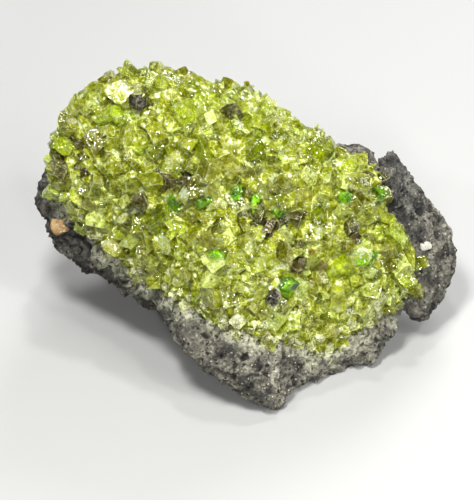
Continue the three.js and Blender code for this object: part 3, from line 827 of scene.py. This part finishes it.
class SPECIMEN_OT_grains(bpy.types.Operator):
    """Covers the nodule with interlocking olivine grains of many sizes."""

    bl_idname = "specimen.grains"
    bl_label = "Olivine Grains"

    def execute(self, context):
        settings = context.scene.specimen_grains
        rng = np.random.default_rng(settings.seed)
        inner = crystal_inside()
        pale = opaque((236, 244, 168))
        # The core is seen only in the gaps between grains; its dark olive is the olivine's colour darkened as painted
        # shade there.
        core = crystal_material("Peridot core", inner, CORE, pale, opaque((118, 124, 16)))
        clear = crystal_material("Peridot clear", inner, CLEAR, pale)
        glassy = crystal_material("Peridot grain", inner, GRAIN, pale)
        milk = crystal_material("Peridot frosted", inner, FROSTED, pale)
        crushed = crystal_material("Crushed peridot", inner, CRUSHED, pale)
        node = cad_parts["peridot_mass"]
        node.data.materials.clear()
        node.data.materials.append(core)

        places, facing = scattered(node, settings.tried, rng)
        insets = np.concatenate([inset_nodes(kind)[1] for kind in ("chrome", "pyroxene", "spinel")])
        rows = [nearest_front(places, facing, u, v) for u, v, _ in LARGE_CRYSTALS]
        large = Grains(places[rows], facing[rows], np.array(LARGE_CRYSTALS)[:, 2] * LARGE_SCALE * MM)
        keep = away_from(places, insets, INSET_ROOM) & away_from(places, large.centres, large.radii)
        own = np.random.default_rng(settings.seed + 3)
        tints = np.array(settings.clear) * (0.92, 0.95, 0.4) * own.uniform(0.85, 1.1, (len(rows), 1))
        large = large.raised(-LARGE_SUNK)
        add_grains("peridot_large", blocks, large, tints, clear, CLEAR.depth, own)

        grains = self.packed(places[keep], facing[keep], settings.largest, rng)
        tints = grain_tints(grains, settings, rng)
        rim = self.beside_basalt(grains)
        grains, tints, milky = self.frosted(grains, tints, rim, rng)
        blocky = rng.uniform(size=len(rim)) < BLOCKY
        for name, form, rows, material, finish in (
            ("peridot_blocks", blocks, blocky & ~milky, glassy, GRAIN),
            ("peridot_prisms", prisms, ~blocky & ~milky, glassy, GRAIN),
            ("peridot_frosted", blocks, milky, milk, FROSTED),
        ):
            add_grains(name, form, grains.some(rows), tints[rows], material, finish.depth, rng)

        chips = seated(grains.some(rng.integers(len(rim), size=settings.chips)), rng)
        keep = away_from(chips.centres, insets, INSET_CHIP_ROOM)
        chips = chips.some(keep & away_from(chips.centres, large.centres, 0.9 * large.radii))
        chips = chips._replace(radii=settings.smallest * rng.uniform(1, 2.6, len(chips.radii)))
        tints = grain_tints(chips, settings, rng)
        add_grains("peridot_chips", prisms, chips, tints, glassy, GRAIN.depth, rng)

        crumbs = seated(grains.some(rng.choice(np.flatnonzero(rim), settings.crumbs)), rng)
        crumbs = crumbs._replace(radii=settings.smallest * rng.uniform(1, 2.4, settings.crumbs))
        tints = linear((210, 212, 168)) * rng.uniform(0.6, 1.1, (settings.crumbs, 1))
        add_grains("peridot_crumbs", blocks, crumbs, tints, crushed, CRUSHED.depth, rng)
        return {"FINISHED"}

    @staticmethod
    def packed(places, facing, largest, rng):
        """Grains of a few sizes on some of the places. Those of a size keep their distance, and the next size fills
        the gaps that they leave."""
        made = []
        for share in GRAIN_SIZES:
            radius = largest * share
            chosen = apart(places, SPACING * radius, rng)
            sizes = radius * rng.uniform(0.85, 1.3, chosen.sum())
            made.append(Grains(places[chosen], facing[chosen], sizes).raised(rng.uniform(-0.6, 0.05, len(sizes))))
            keep = away_from(places, places[chosen], FILLING * radius)
            places, facing = places[keep], facing[keep]
        return Grains(*(np.concatenate(parts) for parts in zip(*made)))

    @staticmethod
    def beside_basalt(grains):
        """Which grains lie in sight near the basalt along the nodule's lower edge."""
        u, v, _ = drawn(grains.centres).T
        basalt, _, _ = skin(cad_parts["basalt_matrix"])
        near = ~away_from(grains.centres, basalt, BASALT_REACH)
        return near & (v < EDGE_HEIGHT - EDGE_FALL * u) & (to_viewer(grains.ways) > 0.1)

    @staticmethod
    def frosted(grains, tints, rim, rng):
        """Makes some grains smaller and whitish: most of those at the rim, and a few elsewhere, with more of them in
        the milky patches. Returns the grains, their tints, and which of them are frosted."""
        share = np.where(rim, 0.9, 0.1) + 0.6 * patch_mask(drawn(grains.centres), MILKY_PATCHES)
        milky = rng.uniform(size=len(rim)) < share
        white = np.where(rim[:, None], linear((224, 224, 180)), linear((214, 226, 110)))
        tints = np.where(milky[:, None], white * rng.uniform(0.8, 1.1, (len(rim), 1)), tints)
        radii = np.where(milky, np.where(rim, 0.62, 0.85) * grains.radii, grains.radii)
        return grains._replace(radii=radii), tints, milky


class SPECIMEN_OT_other_crystals(bpy.types.Operator):
    """Makes the emerald, brown and black crystals of other minerals, two at each of their solids."""

    bl_idname = "specimen.other_crystals"
    bl_label = "Other Crystals"

    def execute(self, context):
        settings = context.scene.specimen_grains
        rng = np.random.default_rng(settings.seed + 1)
        inner = bpy.data.node_groups["Crystal inside"]
        for kind, form, tint, pale, transmission in (
            ("chrome_diopside", prisms, np.array(settings.emerald), opaque((150, 210, 90)), 0.6),
            ("pyroxene", prisms, np.array(settings.brown), opaque((156, 146, 98)), 0.45),
            ("spinel", blocks, linear((52, 50, 52)), opaque((130, 126, 120)), 0.0),
        ):
            names, centres, radii = inset_nodes(kind)
            count = 2 * len(names)
            middles = np.repeat(centres, 2, axis=0) + rng.normal(size=(count, 3)) * 0.35 * radii.mean()
            sizes = np.repeat(radii, 2) * np.tile(PAIR_SIZES, len(names))
            pairs = Grains(middles, np.tile(SIGHT_BACK, (count, 1)), sizes)
            tints = tint * rng.uniform(0.6, 1.2, (count, 1))
            finish = MINERAL._replace(transmission=transmission)
            material = crystal_material(kind.replace("_", " ").capitalize(), inner, finish, pale)
            add_grains(f"{kind}_crystals", form, pairs, tints, material, finish.depth, rng, kind, names)
        return {"FINISHED"}


class SPECIMEN_OT_basalt(bpy.types.Operator):
    """Makes the rough, pitted basalt from the solid's shape."""

    bl_idname = "specimen.basalt"
    bl_label = "Basalt"

    def execute(self, context):
        settings = context.scene.specimen_basalt
        points, _, triangles = skin(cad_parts["basalt_matrix"])
        rock = mesh_object("basalt_rock", points, triangles)
        fine = rock.modifiers.new("Fine", "REMESH")
        fine.mode = "VOXEL"
        fine.voxel_size = settings.mesh_size
        mesh = bpy.data.meshes.new_from_object(rock.evaluated_get(context.evaluated_depsgraph_get()))
        rock.modifiers.clear()
        rock.data = mesh
        self.weather(rock, *self.roughen(mesh, settings))
        material = rock_material(
            "Basalt", rock_surface(), 0.35, weathered=True, Dark=(*settings.dark, 1), Light=(*settings.light, 1),
            Speck=opaque((200, 194, 170)), Specks=0.5, Pinholes=1.0)
        dress(rock, material, "basalt", "basalt_matrix")
        return {"FINISHED"}

    @staticmethod
    def roughen(mesh, settings):
        """Moves each corner along its normal: up and down by four sizes of noise folded at zero, which gives sharp
        ridges, and down into gas holes. The underside stays flat. Returns where the corners were, and the noise and
        the depth of the holes at each."""
        corners = read(mesh.vertices, "co").astype(float)
        normals = read(mesh.vertices, "normal")
        u, v, _ = drawn(corners).T
        lumps = sum(
            share * (1 - 2.4 * np.abs(swell(corners, size * MM, settings.seed + k)))
            for k, (size, share) in enumerate(ROCK_NOISE)
        )
        lumps *= 1 - 0.45 * on_lobe(u)
        large = bubbles(corners, 3.2 * MM, (0.3 * MM, settings.hole), share=0.5, seed=settings.seed + 20)
        small = bubbles(corners, 1.7 * MM, (0.25 * MM, 0.75 * MM), share=0.75, seed=settings.seed + 40)
        holes = np.maximum(large, small)
        seen = to_viewer(normals) > 0
        for hole_u, hole_v, radius in LOBE_HOLES:
            off = (u - hole_u) ** 2 + (v - hole_v) ** 2
            holes = np.maximum(holes, seen * 1.2 * np.sqrt(np.maximum(radius**2 - off, 0)) * MM)
        free = fade(corners[:, 2], 0, 1.5 * MM)
        moved = corners + normals * (free * (settings.lump * lumps - holes))[:, None]
        moved[:, 2] = np.maximum(moved[:, 2], 0)
        write(mesh.vertices, "co", moved)
        mesh.update()
        return corners, lumps, holes

    @staticmethod
    def weather(rock, corners, lumps, holes):
        """Stores how deep each corner lies in a hole or hollow, as painted shade there, and its painted light and
        shade, which is lighter at the toe and darker at the left end and on the lobe's near side, and the frost of
        crushed grains beside the nodule's lower edge."""
        u, v, _ = drawn(corners).T
        # Painted shade: deep in gas holes and in the low parts of the lumps.
        weigh(rock, "hollow_shade", holes / (0.6 * MM) - 0.55 * np.minimum(lumps + 0.3, 0))
        nodule = skin(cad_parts["peridot_mass"])[0][::2]  # every second corner, which is close enough
        close = np.clip(1.9 - distance_to(corners, nodule) / (2 * MM), 0, 0.85)
        weigh(rock, "frost", close * fade(EDGE_HEIGHT + 2 - EDGE_FALL * u - v, 0, 4))
        # Painted light and shade: lighter at the toe, darker at the left end and on the lobe, most on its near side,
        # which is also a little bluer.
        toe = np.clip(1.2 - np.hypot(u - 6, v - 5) / 18, 0, 1)[:, None]
        left = fade(-u, 14, 14)[:, None]
        near = fade(-u, -38, 9)[:, None]
        lobe = on_lobe(u)[:, None]
        painted_shading = 1 + 0.25 * toe - 0.6 * left - 0.4 * lobe * near
        paint(rock, "painted_shading", painted_shading + lobe * (-0.06 - near * np.array((0.1, 0.08, 0.0))))


class SPECIMEN_OT_chips(bpy.types.Operator):
    """Makes the matte tan and white chips that sit in the basalt."""

    bl_idname = "specimen.chips"
    bl_label = "Matte Chips"

    def execute(self, context):
        inner = bpy.data.node_groups["Rock surface"]
        for kind, dark, light, squash in (
            ("tan_inclusion", opaque((128, 104, 66)), opaque((198, 162, 114)), (1.0, 0.8, 1.3)),
            ("white_inclusion", opaque((146, 144, 132)), opaque((204, 203, 192)), (1.4, 0.8, 0.8)),
        ):
            names, centres, radii = inset_nodes(kind)
            piece = self.lump(f"{kind}_chip", centres[0], 1.2 * radii[0] * np.array(squash), radii[0])
            material = rock_material(
                kind.replace("_", " ").capitalize(), inner, 0.12, Dark=dark, Light=light,
                Speck=opaque((240, 232, 214)), Specks=0.3, Pinholes=0.4)
            dress(piece, material, kind, *names)
        return {"FINISHED"}

    @staticmethod
    def lump(name, centre, reach, size, rings=30, sides=48):
        """An angular chip on a grid of longitude and latitude: the radius in each direction is the distance to the
        nearest of sixteen random planes, at most 1.1, stretched by the reach, with noise on it."""
        turn, tilt = np.meshgrid(
            np.arange(sides) * 2 * np.pi / sides, np.linspace(-np.pi / 2, np.pi / 2, rings + 2)[1:-1])
        ways = np.stack([np.cos(turn) * np.cos(tilt), np.sin(turn) * np.cos(tilt), np.sin(tilt)], axis=-1)
        ways = np.concatenate([ways.reshape(-1, 3), [[0, 0, -1], [0, 0, 1]]])
        rng = np.random.default_rng(9)
        planes = rng.normal(size=(16, 3))
        planes /= np.linalg.norm(planes, axis=1, keepdims=True)
        out = (rng.uniform(0.72, 1.0, len(planes)) / np.maximum(ways @ planes.T, 0.05)).min(1)
        corners = centre + ways * reach * np.minimum(out, 1.1)[:, None]
        rough = 0.1 * swell(corners, 0.6 * size, 3) - 0.08 * np.abs(swell(corners, 0.3 * size, 4))
        corners += ways * (rough * size)[:, None]
        here, onward = around(sides)
        rows = (np.arange(rings - 1) * sides)[:, None]
        quads = np.stack([rows + here, rows + onward, rows + sides + onward, rows + sides + here], axis=-1)
        last = (rings - 1) * sides
        ends = np.concatenate([fan(onward, here, last + sides), fan(last + here, last + onward, last + sides + 1)])
        return mesh_object(name, corners, quads.reshape(-1, 4), ends)


class SPECIMEN_OT_stage(bpy.types.Operator):
    """Sets up the pale floor, the soft lights and the camera."""

    bl_idname = "specimen.stage"
    bl_label = "Studio"

    def execute(self, context):
        settings = context.scene.specimen_stage
        self.add_floor(settings)
        self.add_camera(context, settings)
        target = Vector((0, -5 * MM, 25 * MM))
        for name, place, size, power in LAMPS:
            lamp = bpy.data.lights.new(name, "AREA")
            lamp.size = size
            lamp.energy = power * settings.light
            holder = bpy.data.objects.new(name, lamp)
            holder.location = place
            holder.rotation_euler = (target - Vector(place)).to_track_quat("-Z", "Y").to_euler()
            context.scene.collection.objects.link(holder)
        world = context.scene.world or bpy.data.worlds.new("Studio")
        context.scene.world = world
        world.use_nodes = True
        sky = world.node_tree.nodes["Background"]
        fill(world.node_tree, sky, Color=(0.95, 0.97, 1, 1), Strength=0.12 * settings.light)
        context.scene.view_settings.view_transform = "Standard"
        return {"FINISHED"}

    @staticmethod
    def add_floor(settings):
        """A flat floor whose back edge is far behind the specimen."""
        half = 4.0
        corners = np.array([[-half, -half, 0], [half, -half, 0], [half, half, 0], [-half, half, 0]])
        floor = mesh_object("studio_floor", corners, np.array([[0, 1, 2, 3]]))
        material, tree, shader = surface("Studio floor")
        fill(tree, shader, Roughness=0.6, Base_Color=(*settings.floor, 1))
        floor.data.materials.append(material)

    @staticmethod
    def add_camera(context, settings):
        """A long lens on the line of sight of the drawing."""
        lens = bpy.data.cameras.new("Camera")
        lens.sensor_width = 36
        lens.lens = lens.sensor_width * settings.distance / settings.view_height
        lens.clip_start, lens.clip_end = 0.05, 20
        camera = bpy.data.objects.new("Camera", lens)
        camera.location = placed(*AIM) + SIGHT_BACK * settings.distance
        camera.rotation_euler = (-SIGHT_BACK).to_track_quat("-Z", "Y").to_euler()
        context.scene.collection.objects.link(camera)
        context.scene.camera = camera


class SPECIMEN_PT_panel(bpy.types.Panel):
    """Lists the specimen's pieces and their settings."""

    bl_label = "Peridot Specimen"
    bl_idname = "SPECIMEN_PT_panel"
    bl_space_type = "VIEW_3D"
    bl_region_type = "UI"
    bl_category = "Specimen"

    def draw(self, context):
        """Shows a button for each operator and a box for each group of settings."""
        for operator in OPERATORS:
            self.layout.operator(operator.bl_idname)
        for group_name in SETTINGS:
            box = self.layout.box()
            values = getattr(context.scene, group_name)
            for name in values.__annotations__:
                box.prop(values, name)


OPERATORS = (
    SPECIMEN_OT_grains,
    SPECIMEN_OT_other_crystals,
    SPECIMEN_OT_basalt,
    SPECIMEN_OT_chips,
    SPECIMEN_OT_stage,
)
SETTINGS = {
    "specimen_grains": SpecimenGrains,
    "specimen_basalt": SpecimenBasalt,
    "specimen_stage": SpecimenStage,
}


def register():
    """Adds the classes and the settings to Blender."""
    for kind in (*SETTINGS.values(), *OPERATORS, SPECIMEN_PT_panel):
        bpy.utils.register_class(kind)
    for name, kind in SETTINGS.items():
        setattr(bpy.types.Scene, name, PointerProperty(type=kind))


def unregister():
    """Takes the settings and the classes out again."""
    for name in SETTINGS:
        delattr(bpy.types.Scene, name)
    for kind in (SPECIMEN_PT_panel, *reversed(OPERATORS), *reversed(SETTINGS.values())):
        bpy.utils.unregister_class(kind)


def main():
    """Makes every piece and the stage."""
    register()
    for operator in OPERATORS:
        area, name = operator.bl_idname.split(".")
        getattr(getattr(bpy.ops, area), name)()


if __name__ == "__main__":
    main()
